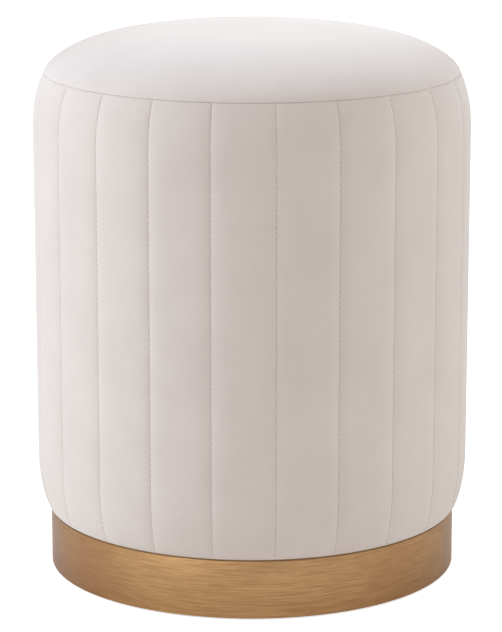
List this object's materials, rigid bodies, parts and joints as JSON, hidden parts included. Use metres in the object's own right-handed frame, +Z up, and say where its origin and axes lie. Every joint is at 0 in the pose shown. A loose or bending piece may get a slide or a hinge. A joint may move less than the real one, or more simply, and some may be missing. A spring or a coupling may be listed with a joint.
{
  "type": "accent stool",
  "caption": "Round upholstered drum stool with a crowned seat and channel-quilted sides, on a recessed plinth wrapped in a brushed metal band, for sitting on or resting feet.",
  "frame": {"origin": "on the drum's axis at floor level, under the glides", "axes": "+Z up along the drum's axis, -Y to the front, +Y to the cover's closing seam and the band's joint"},
  "size_m": [0.3898, 0.3884, 0.4875],
  "materials": {
    "ivory_velvet": "short-pile velvet",
    "brushed_gold": "satin, brushed lengthwise",
    "mdf": "sanded, unfinished",
    "plywood": "sanded, unfinished",
    "softwood": "planed, unfinished",
    "hardboard": "smooth, unfinished",
    "upholstery_foam": "open cell",
    "polyester_wadding": "loose fibre",
    "black_nonwoven": "point-bonded",
    "black_nylon": "moulded",
    "zinc_steel": "zinc plated",
    "staple_wire": "galvanised"
  },
  "bodies": {
    "root": {"top_cover": "ivory_velvet", "side_cover": "ivory_velvet", "base_band": "brushed_gold", "band_pins": "brushed_gold", "plinth_ring_lower": "mdf", "plinth_ring_upper": "mdf", "bottom_board": "plywood", "seat_board": "plywood", "post_1": "softwood", "post_2": "softwood", "post_3": "softwood", "post_4": "softwood", "post_5": "softwood", "post_6": "softwood", "side_shell": "hardboard", "side_foam": "upholstery_foam", "seat_foam": "upholstery_foam", "seat_wadding": "polyester_wadding", "dust_cover": "black_nonwoven", "glide_1": "black_nylon", "glide_2": "black_nylon", "glide_3": "black_nylon", "glide_4": "black_nylon", "plinth_bolts": "zinc_steel", "plinth_washers": "zinc_steel", "tee_nuts": "zinc_steel", "bottom_screws": "zinc_steel", "seat_screws": "zinc_steel", "glide_nails": "zinc_steel", "shell_staples": "staple_wire", "cover_staples": "staple_wire", "dust_cover_staples": "staple_wire"}
  },
  "joints": []
}
